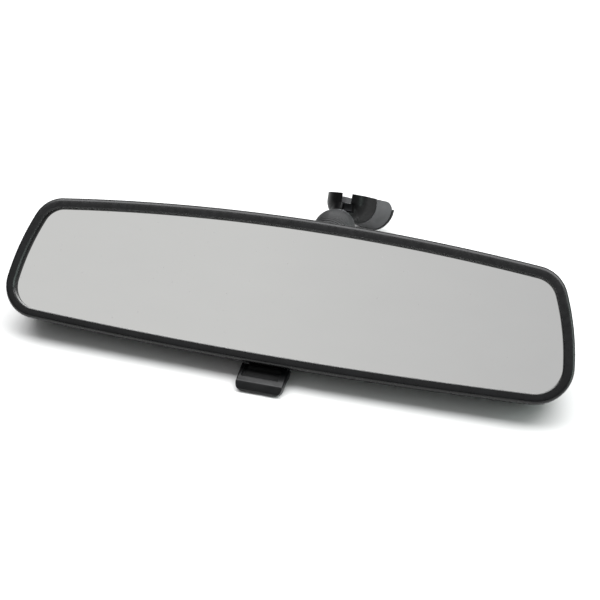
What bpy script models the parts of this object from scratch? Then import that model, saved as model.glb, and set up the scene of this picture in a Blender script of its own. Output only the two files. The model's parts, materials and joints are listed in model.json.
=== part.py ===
"""Interior rear-view mirror on a two-ball arm, with a day and night lever.

Metres, +Z up. The origin is the centre of the foot's seat, where the windshield button sits.
The glass faces -Y and its long side runs along X. Lengths are written in millimetres times MM.
"""

import math

import bmesh
import bpy
from mathutils import Matrix, Vector

MM = 0.001
GAP = 0.3 * MM

# Driving points, from the seat's centre. The arm and head are laid out upright around the upper
# ball, then the joint there is nodded by HEAD_NOD, so that the glass faces slightly upward.
HEAD_NOD = math.radians(-9.0)
UPPER_BALL = Vector((-1.95, -18.8, -19.6)) * MM
HEAD = UPPER_BALL - Vector((6.7, 62.0, 43.4)) * MM
LOWER_BALL = HEAD + Vector((0.0, 27.0, 6.0)) * MM
BOWL_CENTRE = Vector((0.0, 0.0, -3.8)) * MM
FLIP_AXIS = HEAD + Vector((0.0, 13.2, 19.0)) * MM
LEVER_AXIS = HEAD + Vector((0.0, 12.2, -22.6)) * MM

ARM_AXIS = (UPPER_BALL - LOWER_BALL).normalized()
ARM_LENGTH = (UPPER_BALL - LOWER_BALL).length
STEM_AXIS = (BOWL_CENTRE - UPPER_BALL).normalized()
X_AXIS = Vector((1.0, 0.0, 0.0))
Y_AXIS = Vector((0.0, 1.0, 0.0))
Z_AXIS = Vector((0.0, 0.0, 1.0))

# Opening of the front frame, where the glass shows: a rounded trapezoid of four bowed edges
OPENING_HALF_TOP = 112.1 * MM
OPENING_HALF_BOTTOM = 122.0 * MM
OPENING_HEIGHT = 45.6 * MM
TOP_BOW = 6.6 * MM
BOTTOM_BOW = 3.2 * MM
SIDE_BOW = 2.7 * MM
TOP_CORNER = 9.8 * MM
BOTTOM_CORNER = 11.1 * MM
LONG_EDGE_STEPS = 10
SIDE_STEPS = 2
CORNER_STEPS = 4

# Front frame, glass, pad and back plate: offsets outward from the opening, depths behind the glass
FRAME_WIDTH = 5.0 * MM
FRAME_DRAFT = 0.3 * MM
FRAME_DEPTH = 11.0 * MM
FRAME_PROUD = 2.3 * MM
FRAME_WALL_INSIDE = 2.2 * MM
GLASS_OVERLAP = 1.8 * MM
GLASS_THIN = 2.4 * MM
GLASS_THICK = 5.8 * MM
PAD_OVERLAP = 1.2 * MM
PAD_BACK = 6.8 * MM
PLATE_OVERLAP = 1.4 * MM
PLATE_FRONT = 7.1 * MM
PLATE_BACK = 8.9 * MM

# Rear housing
HOUSING_WIDTH = 4.6 * MM
HOUSING_FRONT = FRAME_DEPTH + GAP
HOUSING_DEPTH = 17.4 * MM
HOUSING_WALL = 2.4 * MM
HOUSING_LEVELS = 6
HOUSING_POWER = 2.2
HOUSING_FLAT = 0.965
HOUSING_HOLE = 15.0 * MM

# Foot: a slotted cup with a round bowl, a D-shaped cover behind it and an end cap
CUP_RADIUS = 11.5 * MM
CUP_DROP = 10.0 * MM
CUP_INSIDE = 9.1 * MM
CUP_DEPTH = 5.2 * MM
SLOT_WIDTH = 4.8 * MM
SLOT_DEPTH = 5.0 * MM
SLOT_OFFSET = 1.65 * MM
SLOT_HEADING = math.radians(10.8)
COVER_HEADING = math.radians(-27.0)
COVER_START = 7.5 * MM
COVER_END = 19.4 * MM
COVER_WALL = 1.6 * MM
COVER_TOP = -0.1 * MM
# The cover flares towards the end cap: (distance along, radius, drop, top) of its sections
COVER_SECTIONS = (
    (COVER_START, CUP_RADIUS, CUP_DROP, COVER_TOP),
    (15.0 * MM, 12.4 * MM, 10.9 * MM, COVER_TOP),
    (17.6 * MM, 12.9 * MM, 11.4 * MM, -0.9 * MM),
    (COVER_END, 13.2 * MM, 11.7 * MM, -3.0 * MM),
)
CAP_RADIUS = 13.3 * MM
CAP_DROP = 11.8 * MM
CAP_TOP = -3.6 * MM
CAP_THICK = 1.7 * MM
TAIL_WIDTH = 8.0 * MM
TAIL_START = 9.4 * MM
TAIL_LOW = -10.0 * MM
TAIL_HIGH = -4.6 * MM
SCREW_HEIGHT = -7.2 * MM
CLIP_THICK = 0.8 * MM

# Ball joints
UPPER_BALL_RADIUS = 7.0 * MM
LOWER_BALL_RADIUS = 7.5 * MM
STEM_RADIUS = 2.9 * MM
STEM_LENGTH = 16.8 * MM
BELL_RADIUS = 10.6 * MM
BELL_INSIDE = 8.9 * MM
SOCKET_RADIUS = 11.8 * MM
SOCKET_INSIDE = 9.5 * MM
SOCKET_MOUTH = math.radians(46.0)

# Lever and its pin
PIN_RADIUS = 1.3 * MM
PIN_HOLE = 1.6 * MM
FLIP_PIN_RADIUS = 1.5 * MM
FLIP_PIN_HOLE = 1.8 * MM
TAB_CENTRE = -0.9 * MM
TAB_HALF_WIDTH = 10.9 * MM
TAB_TAPER = 0.107            # each side draws in by this much per unit of height
TAB_HEIGHT = -32.3 * MM      # height of the tab's upper end
LEVER_GAP_HALF = 13.2 * MM

ROUND_STEPS = 20
SMALL_STEPS = 10
COIL_STEPS = 8
SMOOTH_ANGLE = math.radians(35.0)


# ---------------------------------------------------------------- scene and materials

def clear_scene():
    for obj in list(bpy.data.objects):
        bpy.data.objects.remove(obj, do_unlink=True)


def make_material(name, colour, roughness, metallic=0.0):
    material = bpy.data.materials.new(name)
    material.use_nodes = True
    shader = material.node_tree.nodes["Principled BSDF"]
    shader.inputs["Base Color"].default_value = (*colour, 1.0)
    shader.inputs["Roughness"].default_value = roughness
    shader.inputs["Metallic"].default_value = metallic
    return material


def add_empty(name, place, parent=None):
    """An empty on a joint's axis. Places are those of the upright layout, so they subtract."""
    empty = bpy.data.objects.new(name, None)
    bpy.context.collection.objects.link(empty)
    empty["place"] = place[:]
    if parent:
        empty.parent = parent
        empty.location = place - Vector(parent["place"])
    else:
        empty.location = place
    return empty


def add_object(name, bm, material, parent, place, axis=None, x_axis=None):
    """Turns a bmesh into an object. Its own Z runs along axis, or its own X and Z are both given."""
    bmesh.ops.recalc_face_normals(bm, faces=bm.faces)
    mesh = bpy.data.meshes.new(name)
    bm.to_mesh(mesh)
    bm.free()
    mesh.shade_smooth()
    mesh.set_sharp_from_angle(angle=SMOOTH_ANGLE)
    obj = bpy.data.objects.new(name, mesh)
    bpy.context.collection.objects.link(obj)
    if material:
        mesh.materials.append(material)
    if parent:
        obj.parent = parent
        obj.location = place - Vector(parent["place"])
    else:
        obj.location = place
    if x_axis:
        turn = Matrix((x_axis, axis.cross(x_axis), axis)).transposed()
        obj.rotation_euler = turn.to_euler()
    elif axis:
        obj.rotation_euler = axis.to_track_quat("Z", "Y").to_euler()
    return obj


def add_cutter(name, bm, place, axis=None, x_axis=None):
    cutter = add_object(name, bm, None, None, place, axis, x_axis)
    cutter.hide_render = True
    cutter.display_type = "WIRE"
    return cutter


def combine(obj, tool, operation):
    """Joins or cuts with a tool, which first moves under the object's own parent."""
    tool.parent = obj.parent
    tool.location -= Vector(obj.parent["place"])
    modifier = obj.modifiers.new(operation.title() + " " + tool.name, "BOOLEAN")
    modifier.operation = operation
    modifier.solver = "EXACT"
    modifier.object = tool


def cut(obj, tool):
    combine(obj, tool, "DIFFERENCE")


def join(obj, tool):
    combine(obj, tool, "UNION")


def bevel(obj, width, segments=2):
    modifier = obj.modifiers.new("Bevel", "BEVEL")
    modifier.width = width
    modifier.segments = segments
    modifier.limit_method = "ANGLE"
    modifier.angle_limit = SMOOTH_ANGLE


# ---------------------------------------------------------------- shape helpers

def loft(rings, closed=False):
    """Joins rings of equal length with quads: capped at both ends, or closed into a loop."""
    bm = bmesh.new()
    rows = [[bm.verts.new(point) for point in ring] for ring in rings]
    count = len(rows[0])
    pairs = list(zip(rows, rows[1:]))
    if closed:
        pairs.append((rows[-1], rows[0]))
    for low, high in pairs:
        for i in range(count):
            j = (i + 1) % count
            bm.faces.new((low[i], low[j], high[j], high[i]))
    if not closed:
        bm.faces.new(rows[0])
        bm.faces.new(rows[-1])
    return bm


def turned(profile, steps=ROUND_STEPS):
    """Turns a closed profile of (radius, height) points around Z."""
    bm = bmesh.new()
    points = [bm.verts.new((radius, 0.0, height)) for radius, height in profile]
    edges = [bm.edges.new((points[i], points[(i + 1) % len(points)])) for i in range(len(points))]
    on_axis = [edge for edge in edges if all(vert.co.x < 1e-9 for vert in edge.verts)]
    for edge in on_axis:
        edges.remove(edge)
        bm.edges.remove(edge)
    bmesh.ops.spin(bm, geom=points + edges, cent=(0, 0, 0), axis=(0, 0, 1), angle=math.tau, steps=steps)
    bmesh.ops.remove_doubles(bm, verts=bm.verts, dist=0.001 * MM)
    return bm


def cylinder(radius, low, high, steps=ROUND_STEPS):
    return turned([(0.0, low), (radius, low), (radius, high), (0.0, high)], steps)


def sphere_arc(radius, start, end, steps):
    """Points of a sphere's profile, with angles in degrees from the top of the axis."""
    points = []
    for i in range(steps + 1):
        angle = math.radians(start + (end - start) * i / steps)
        points.append((radius * math.sin(angle), radius * math.cos(angle)))
    return points


def shell(outer, inner, start, end, steps=5):
    """A band of a hollow sphere between two angles from the axis."""
    return turned(sphere_arc(outer, start, end, steps) + sphere_arc(inner, end, start, steps))


def prism(points, low, high, plane):
    """Extrudes an outline. Plane XZ extrudes along Y, YZ along X and XY along Z."""
    place = {
        "XZ": lambda a, b, depth: (a, depth, b),
        "YZ": lambda a, b, depth: (depth, a, b),
        "XY": lambda a, b, depth: (a, b, depth),
    }[plane]
    return loft([[place(a, b, depth) for a, b in points] for depth in (low, high)])


def box(low, high):
    bm = bmesh.new()
    bmesh.ops.create_cube(bm, size=1.0)
    size = Vector(high) - Vector(low)
    bmesh.ops.scale(bm, vec=size, verts=bm.verts)
    bmesh.ops.translate(bm, vec=Vector(low) + size / 2, verts=bm.verts)
    return bm


def scaled(points):
    """Turns points in millimetres into metres."""
    return [tuple(value * MM for value in point) for point in points]


def heading(angle):
    """The level direction that lies at this angle from +Y, turned towards -X."""
    return Vector((-math.sin(angle), math.cos(angle), 0.0))


def left_of(direction):
    """The level direction to the left of another one."""
    return Z_AXIS.cross(direction)


# ---------------------------------------------------------------- outline of the mirror

def bowed_edge(start, end, bow):
    """Centre and radius of the arc from start to end that bows out on the left side."""
    chord = end - start
    half = chord.length / 2
    radius = (half * half + bow * bow) / (2 * bow)
    left = Vector((-chord.y, chord.x)).normalized()
    return (start + end) / 2 + left * (bow - radius), radius


def corner_centre(first, second, corner, radius):
    """Centre of the fillet that touches two bowed edges from inside, near their corner."""
    (centre_a, radius_a), (centre_b, radius_b) = first, second
    reach_a = radius_a - radius
    reach_b = radius_b - radius
    between = centre_b - centre_a
    distance = between.length
    along = (distance * distance + reach_a * reach_a - reach_b * reach_b) / (2 * distance)
    across = math.sqrt(reach_a * reach_a - along * along)
    unit = between / distance
    side = Vector((-unit.y, unit.x))
    options = [centre_a + unit * along + side * across * sign for sign in (-1, 1)]
    return min(options, key=lambda point: (point - corner).length)


def arc_points(centre, radius, start, end, steps):
    """Points of a clockwise arc, without its last one. Start and end are directions."""
    first = math.atan2(start.y, start.x)
    sweep = (first - math.atan2(end.y, end.x)) % math.tau
    angles = [first - sweep * i / steps for i in range(steps)]
    return [(centre.x + radius * math.cos(a), centre.y + radius * math.sin(a)) for a in angles]


def outline(offset):
    """The opening's outline grown outward by offset: clockwise points seen from the front."""
    half = OPENING_HEIGHT / 2
    corners = [
        Vector((-OPENING_HALF_TOP, half)),
        Vector((OPENING_HALF_TOP, half)),
        Vector((OPENING_HALF_BOTTOM, -half)),
        Vector((-OPENING_HALF_BOTTOM, -half)),
    ]
    bows = [TOP_BOW, SIDE_BOW, BOTTOM_BOW, SIDE_BOW]
    radii = [TOP_CORNER, TOP_CORNER, BOTTOM_CORNER, BOTTOM_CORNER]
    steps = [LONG_EDGE_STEPS, SIDE_STEPS, LONG_EDGE_STEPS, SIDE_STEPS]
    edges = [bowed_edge(corners[i], corners[(i + 1) % 4], bows[i]) for i in range(4)]
    fillets = [corner_centre(edges[i - 1], edges[i], corners[i], radii[i]) for i in range(4)]
    points = []
    for i in range(4):
        before, after = edges[i - 1][0], edges[i][0]
        fillet, following = fillets[i], fillets[(i + 1) % 4]
        points += arc_points(fillet, radii[i] + offset, fillet - before, fillet - after, CORNER_STEPS)
        points += arc_points(after, edges[i][1] + offset, fillet - after, following - after, steps[i])
    return points


# ---------------------------------------------------------------- foot, the fixed body

def slot_cutter(name):
    """A box along the slot that crosses the whole foot."""
    bm = box((-SLOT_WIDTH / 2, -SLOT_DEPTH, -30 * MM), (SLOT_WIDTH / 2, 5 * MM, 30 * MM))
    sight = heading(SLOT_HEADING)
    return add_cutter(name, bm, left_of(sight) * SLOT_OFFSET, sight, left_of(sight))


def mount_cup(material, root):
    """The slotted cup with its round bowl, the shoulder behind it and the tail for the screw."""
    flatten = CUP_DROP / CUP_RADIUS
    bowl = [(r, h * flatten + BOWL_CENTRE.z) for r, h in sphere_arc(CUP_RADIUS, 90, 180, 7)]
    profile = [(0.0, -CUP_DEPTH), (CUP_INSIDE, -CUP_DEPTH), (CUP_INSIDE, 0.0), (CUP_RADIUS, 0.0)]
    cup = add_object("mount_cup", turned(profile + bowl, 32), material, root, Vector())

    along = heading(COVER_HEADING)
    section = d_section(CUP_RADIUS, CUP_DROP, 0.0)
    shoulder = prism(section, 0.0, COVER_START - GAP, "XY")
    join(cup, add_cutter("cup_shoulder", shoulder, Vector(), along, left_of(along)))
    hollow = cylinder(CUP_INSIDE, -CUP_DEPTH, 3 * MM, 32)
    cut(cup, add_cutter("cup_hollow", hollow, Vector(), Z_AXIS))
    tail = box((-TAIL_WIDTH / 2, TAIL_LOW, TAIL_START), (TAIL_WIDTH / 2, TAIL_HIGH, COVER_END - GAP))
    join(cup, add_cutter("tail_block", tail, Vector(), along, left_of(along)))
    cut(cup, slot_cutter("slot_cutter"))

    recess = box(Vector((-1.3, -15.0, -9.4)) * MM, Vector((4.7, -9.6, -4.4)) * MM)
    cut(cup, add_cutter("clip_recess_cutter", recess, Vector()))

    stem_hole = cylinder(STEM_RADIUS + GAP, 8 * MM, STEM_LENGTH + GAP, 12)
    cut(cup, add_cutter("stem_hole_cutter", stem_hole, UPPER_BALL, STEM_AXIS))

    rivet_hole = cylinder(1.5 * MM, -8.6 * MM, 0.0, SMALL_STEPS)
    cut(cup, add_cutter("rivet_hole_cutter", rivet_hole, rivet_place(), Z_AXIS))

    screw_hole = cylinder(1.9 * MM, 9.5 * MM, COVER_END + 5 * MM, SMALL_STEPS)
    cut(cup, add_cutter("screw_hole_cutter", screw_hole, Z_AXIS * SCREW_HEIGHT, along))


def upper_ball_stud(material, root):
    neck = math.degrees(math.asin(STEM_RADIUS / UPPER_BALL_RADIUS))
    profile = [(0.0, STEM_LENGTH), (STEM_RADIUS, STEM_LENGTH)]
    profile += sphere_arc(UPPER_BALL_RADIUS, neck, 180, 8)
    add_object("upper_ball_stud", turned(profile), material, root, UPPER_BALL, STEM_AXIS)


def rivet_place():
    return Vector((2.6, 2.4, 0.0)) * MM


def spring_clip(material, root):
    """A bent steel strip across the cup: a flat base and two sprung legs."""
    path = scaled([(-7.7, -1.8), (-5.9, -3.7), (-4.8, -4.1), (4.0, -4.1), (5.0, -3.9), (7.7, -0.9)])
    under = [(a, b - CLIP_THICK) for a, b in reversed(path)]
    sight = heading(SLOT_HEADING)
    bm = prism(path + under, -3.6 * MM, 3.6 * MM, "XY")
    clip = add_object("spring_clip", bm, material, root, Vector(), sight, left_of(sight))
    hole = cylinder(1.5 * MM, -7 * MM, -2 * MM, SMALL_STEPS)
    cut(clip, add_cutter("clip_hole_cutter", hole, rivet_place(), Z_AXIS))


def clip_rivet(material, root):
    profile = scaled([(0.0, -3.2), (1.4, -3.3), (2.2, -3.8), (1.2, -3.8), (1.2, -8.2), (0.0, -8.2)])
    add_object("clip_rivet", turned(profile, SMALL_STEPS), material, root, rivet_place())


def d_section(radius, drop, top, steps=12):
    """A half-round section under a flat top, as points (across, height)."""
    centre = BOWL_CENTRE.z
    points = [(-radius, top)]
    for i in range(steps + 1):
        angle = math.pi * i / steps
        points.append((-radius * math.cos(angle), centre - drop * math.sin(angle)))
    points.append((radius, top))
    return points


def mount_cover(material, root):
    """The cover behind the cup: a flaring trough with a half-round section."""
    rings = []
    for distance, radius, drop, top in COVER_SECTIONS:
        outside = d_section(radius, drop, top)
        inside = d_section(radius - COVER_WALL, drop - COVER_WALL, top)
        rings.append([(across, height, distance) for across, height in outside + inside[::-1]])
    along = heading(COVER_HEADING)
    add_object("mount_cover", loft(rings), material, root, Vector(), along, left_of(along))


def mount_end_cap(material, root):
    along = heading(COVER_HEADING)
    start = COVER_END + GAP
    bm = prism(d_section(CAP_RADIUS, CAP_DROP, CAP_TOP), start, start + CAP_THICK, "XY")
    cap = add_object("mount_end_cap", bm, material, root, Vector(), along, left_of(along))
    hole = cylinder(1.9 * MM, 15 * MM, 25 * MM, SMALL_STEPS)
    cut(cap, add_cutter("cap_hole_cutter", hole, Z_AXIS * SCREW_HEIGHT, along))


def end_cap_screw(material, root):
    head = COVER_END + CAP_THICK + 2 * GAP
    profile = [(0.0, 10.0 * MM), (1.6 * MM, 10.0 * MM), (1.6 * MM, head), (3.2 * MM, head)]
    profile += [(3.2 * MM, head + 0.9 * MM), (2.4 * MM, head + 1.5 * MM), (0.0, head + 1.7 * MM)]
    place = Z_AXIS * SCREW_HEIGHT
    add_object("end_cap_screw", turned(profile, 20), material, root, place, heading(COVER_HEADING))


# ---------------------------------------------------------------- upper joint and arm

def upper_ball_liner(material, parent):
    bm = shell(8.6 * MM, UPPER_BALL_RADIUS + GAP, 50, 150)
    add_object("upper_ball_liner", bm, material, parent, UPPER_BALL, ARM_AXIS)


def arm_bell(material, parent):
    """The round cover of the upper joint, with a collar that slips over the tube."""
    profile = sphere_arc(BELL_RADIUS, 47.6, 141.5, 8)
    profile += scaled([(6.6, -13.0), (5.6, -13.0)])
    profile += sphere_arc(BELL_INSIDE, 141, 47.6, 6)
    add_object("arm_bell", turned(profile, 28), material, parent, UPPER_BALL, ARM_AXIS)


def bell_ring(material, parent):
    """The snap ring that keeps the liner in the bell's mouth."""
    bm = shell(BELL_RADIUS + GAP, BELL_INSIDE + 0.1 * MM, 42, 46, 2)
    add_object("bell_ring", bm, material, parent, UPPER_BALL, ARM_AXIS)


def arm_tube(material, parent):
    lower_end = -(ARM_LENGTH - 14 * MM)
    profile = scaled([(0.0, -26.0), (4.4, -26.0), (4.4, -9.6), (5.3, -9.6), (5.3, -13.4), (6.2, -13.4)])
    profile += scaled([(6.2, -15.0), (5.1, -20.0), (4.9, -34.0)])
    profile += [(4.2 * MM, lower_end), (3.5 * MM, lower_end), (3.5 * MM, -28.5 * MM), (0.0, -28.5 * MM)]
    add_object("arm_tube", turned(profile), material, parent, UPPER_BALL, ARM_AXIS)


def spring_cap(material, parent):
    profile = [(r, -h) for r, h in sphere_arc(BELL_INSIDE + 0.05 * MM, 0, 27, 3)]
    profile += [(profile[-1][0], -11.4 * MM), (0.0, -11.4 * MM)]
    add_object("spring_cap", turned(profile, 24), material, parent, UPPER_BALL, ARM_AXIS)


def coil(name, material, parent, place, axis, radius, wire, low, high, turns):
    """A coil spring: a helix of round wire."""
    curve = bpy.data.curves.new(name, "CURVE")
    curve.dimensions = "3D"
    curve.bevel_depth = wire / 2
    curve.bevel_resolution = 1
    curve.use_fill_caps = True
    spline = curve.splines.new("POLY")
    steps = turns * COIL_STEPS
    spline.points.add(steps)
    for i in range(steps + 1):
        angle = math.tau * i / COIL_STEPS
        height = low + (high - low) * i / steps
        spline.points[i].co = (radius * math.cos(angle), radius * math.sin(angle), height, 1.0)
    curve.materials.append(material)
    obj = bpy.data.objects.new(name, curve)
    bpy.context.collection.objects.link(obj)
    obj.parent = parent
    obj.location = place - Vector(parent["place"])
    obj.rotation_euler = axis.to_track_quat("Z", "Y").to_euler()


def lower_ball_stud(material, parent):
    neck = math.degrees(math.asin(STEM_RADIUS / LOWER_BALL_RADIUS))
    length = ARM_LENGTH - 28.5 * MM - GAP
    profile = [(0.0, length), (STEM_RADIUS + GAP, length), (STEM_RADIUS + GAP, 14.2 * MM)]
    profile += [(STEM_RADIUS, 12.0 * MM)]
    profile += sphere_arc(LOWER_BALL_RADIUS, neck, 180, 8)
    add_object("lower_ball_stud", turned(profile), material, parent, LOWER_BALL, ARM_AXIS)


# ---------------------------------------------------------------- lower joint and carrier

def lower_liners(material, turning, rolling):
    rear = shell(9.2 * MM, LOWER_BALL_RADIUS + GAP, 42, 80, 3)
    add_object("liner_rear", rear, material, turning, LOWER_BALL, ARM_AXIS)
    front = shell(9.2 * MM, LOWER_BALL_RADIUS + GAP, 100, 165, 4)
    add_object("liner_front", front, material, rolling, LOWER_BALL, ARM_AXIS)


def screw_places():
    return {"left": Vector((-15.0, 0.0, 4.0)) * MM, "right": Vector((15.0, 0.0, 4.0)) * MM}


def socket_body(material, parent):
    """The ball's socket: a flange, a round neck and a hollow sphere that is open towards the arm."""
    flange = box(Vector((-19.5, 14.5, -6.0)) * MM, Vector((19.5, 16.6, 14.0)) * MM)
    body = add_object("socket_body", flange, material, parent, HEAD)
    neck = cylinder(10 * MM, -12.2 * MM, 0.0)
    join(body, add_cutter("socket_neck", neck, LOWER_BALL, Y_AXIS))
    ball = turned(sphere_arc(SOCKET_RADIUS, 0, 180, 10), 24)
    join(body, add_cutter("socket_ball", ball, LOWER_BALL, ARM_AXIS))
    hollow = turned(sphere_arc(SOCKET_INSIDE, 0, 180, 10), 24)
    cut(body, add_cutter("socket_hollow", hollow, LOWER_BALL, ARM_AXIS))
    reach = 20 * MM
    mouth = turned([(0.0, 0.0), (reach * math.tan(SOCKET_MOUTH), reach), (0.0, reach)], 24)
    cut(body, add_cutter("socket_mouth", mouth, LOWER_BALL, ARM_AXIS))
    for side, place in screw_places().items():
        hole = cylinder(1.7 * MM, 10 * MM, 20 * MM, SMALL_STEPS)
        cut(body, add_cutter("flange_hole_" + side, hole, HEAD + place, Y_AXIS))


def carrier_plate(material, parent):
    """The pressed plate that the socket is screwed to, with two hinge ears and a tongue."""
    right = scaled([(5, -17), (5, -9), (22, -9), (32.5, 2), (32.5, 15.2)])
    points = right + [(-a, b) for a, b in reversed(right)]
    plate = add_object("carrier_plate", prism(points, 12.2 * MM, 14.2 * MM, "XZ"), material, parent, HEAD)
    for side, low, high in (("left", -32.5, -29.5), ("right", 29.5, 32.5)):
        ear = box(Vector((low, 11.1, 13.0)) * MM, Vector((high, 15.3, 21.7)) * MM)
        join(plate, add_cutter("hinge_ear_" + side, ear, HEAD))
    bore = cylinder(FLIP_PIN_HOLE, -40 * MM, 40 * MM, SMALL_STEPS)
    cut(plate, add_cutter("ear_bore", bore, FLIP_AXIS, X_AXIS))
    for side, place in screw_places().items():
        hole = cylinder(1.7 * MM, 10 * MM, 20 * MM, SMALL_STEPS)
        cut(plate, add_cutter("plate_hole_" + side, hole, HEAD + place, Y_AXIS))


def socket_screws(material, parent):
    shank = [(0.0, 11.8), (1.4, 11.8), (1.4, 16.9)]
    profile = scaled(shank + [(2.7, 16.9), (2.7, 17.8), (1.9, 18.5), (0.0, 18.6)])
    for side, place in screw_places().items():
        bm = turned(profile, SMALL_STEPS)
        add_object("socket_screw_" + side, bm, material, parent, HEAD + place, Y_AXIS)


# ---------------------------------------------------------------- mirror head

def ring_at(offset, depth):
    return [(a, depth, b) for a, b in outline(offset)]


def glass_back(height):
    """Depth of the wedge glass's back face: the glass is thicker at the top."""
    low = -OPENING_HEIGHT / 2 - BOTTOM_BOW
    high = OPENING_HEIGHT / 2 + TOP_BOW
    share = (height - low) / (high - low)
    return GLASS_THIN + (GLASS_THICK - GLASS_THIN) * share


def front_bezel(material, parent):
    """The frame around the glass: a soft front, a thin lip over the glass and a straight wall."""
    wide = FRAME_WIDTH / MM
    inside = FRAME_WALL_INSIDE / MM
    deep = FRAME_DEPTH / MM
    proud = FRAME_PROUD / MM
    profile = scaled([
        (0.0, -0.35),
        (0.3, -1.5),
        (1.0, -2.1),
        (2.3, -proud),
        (3.8, -proud + 0.05),
        (4.6, -1.7),
        (wide, -0.6),
        (wide, 1.5),
        (wide - FRAME_DRAFT / MM, deep),
        (inside, deep),
        (inside, -0.35),
    ])
    bm = loft([ring_at(offset, depth) for offset, depth in profile], closed=True)
    bezel = add_object("front_bezel", bm, material, parent, HEAD)
    gap = box((-LEVER_GAP_HALF, 4.6 * MM, -34 * MM), (LEVER_GAP_HALF, 13 * MM, -27 * MM))
    cut(bezel, add_cutter("bezel_lever_gap", gap, HEAD))


def mirror_glass(material, parent):
    front = ring_at(GLASS_OVERLAP, 0.0)
    back = [(a, glass_back(b), b) for a, _, b in front]
    add_object("mirror_glass", loft([front, back]), material, parent, HEAD)


def glass_pad(material, parent):
    back = ring_at(PAD_OVERLAP, PAD_BACK)
    front = [(a, glass_back(b) + GAP, b) for a, _, b in back]
    add_object("glass_pad", loft([front, back]), material, parent, HEAD)


def back_plate(material, parent):
    """The moulded plate behind the pad: it carries the hinge, the lever and the stops."""
    bm = loft([ring_at(PLATE_OVERLAP, PLATE_FRONT), ring_at(PLATE_OVERLAP, PLATE_BACK)])
    plate = add_object("back_plate", bm, material, parent, HEAD)
    lugs = {
        "hinge_lug_left": ((-36.5, 8.0, 15.4), (-33.5, 16.2, 22.6)),
        "hinge_lug_right": ((33.5, 8.0, 15.4), (36.5, 16.2, 22.6)),
        "lever_lug_left": ((-15.4, 8.0, -25.8), (-12.9, 15.4, -19.4)),
        "lever_lug_right": ((12.9, 8.0, -25.8), (15.4, 15.4, -19.4)),
    }
    for name, (low, high) in lugs.items():
        join(plate, add_cutter(name, box(Vector(low) * MM, Vector(high) * MM), HEAD))
    flip_bore = cylinder(FLIP_PIN_HOLE, -45 * MM, 45 * MM, SMALL_STEPS)
    cut(plate, add_cutter("flip_bore", flip_bore, FLIP_AXIS, X_AXIS))
    lever_bore = cylinder(PIN_HOLE, -20 * MM, 20 * MM, SMALL_STEPS)
    cut(plate, add_cutter("lever_bore", lever_bore, LEVER_AXIS, X_AXIS))


def housing_ring(offset, share, depth):
    """The outline at one level of the housing, drawn in as the level goes back."""
    size = (1 - share ** HOUSING_POWER) ** (1 / HOUSING_POWER)
    level = HOUSING_FRONT + depth * share
    return [(a * size, level, b * size) for a, b in outline(offset)]


def rear_housing(material, parent):
    """The rounded shell behind the frame, with a round hole for the arm and a gap for the lever."""
    shares = [HOUSING_FLAT * math.sin(math.pi / 2 * i / HOUSING_LEVELS) for i in range(HOUSING_LEVELS + 1)]
    outside = [housing_ring(HOUSING_WIDTH, share, HOUSING_DEPTH) for share in shares]
    inner_width = HOUSING_WIDTH - HOUSING_WALL
    inner_depth = HOUSING_DEPTH - HOUSING_WALL
    inside = [housing_ring(inner_width, share, inner_depth) for share in shares]
    bm = loft(outside[::-1] + inside)
    housing = add_object("rear_housing", bm, material, parent, HEAD)
    hole = cylinder(HOUSING_HOLE, 0.0, 60 * MM, 36)
    cut(housing, add_cutter("arm_hole", hole, HEAD + Z_AXIS * (LOWER_BALL - HEAD).z, Y_AXIS))
    gap = box((-LEVER_GAP_HALF, 9 * MM, -36 * MM), (LEVER_GAP_HALF, 17.6 * MM, -24 * MM))
    cut(housing, add_cutter("housing_lever_gap", gap, HEAD))


def pins_and_stops(steel, rubber, parent):
    for side, sign in (("left", -1), ("right", 1)):
        pin = cylinder(FLIP_PIN_RADIUS, 28.6 * MM, 37.4 * MM, SMALL_STEPS)
        add_object("flip_pin_" + side, pin, steel, parent, FLIP_AXIS, X_AXIS * sign)
        stop = turned(scaled([(0, 9.2), (3, 9.2), (3, 9.9), (2.5, 10.3), (0, 10.3)]), SMALL_STEPS)
        place = HEAD + Vector((20.0 * sign, 0.0, -4.0)) * MM
        add_object("stop_bumper_" + side, stop, rubber, parent, place, Y_AXIS)
    pin = cylinder(PIN_RADIUS, -16.4 * MM, 16.4 * MM, SMALL_STEPS)
    add_object("lever_pin", pin, steel, parent, LEVER_AXIS, X_AXIS)


# ---------------------------------------------------------------- lever

def tab_half_width(height):
    return TAB_HALF_WIDTH - TAB_TAPER * (TAB_HEIGHT - height)


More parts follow.
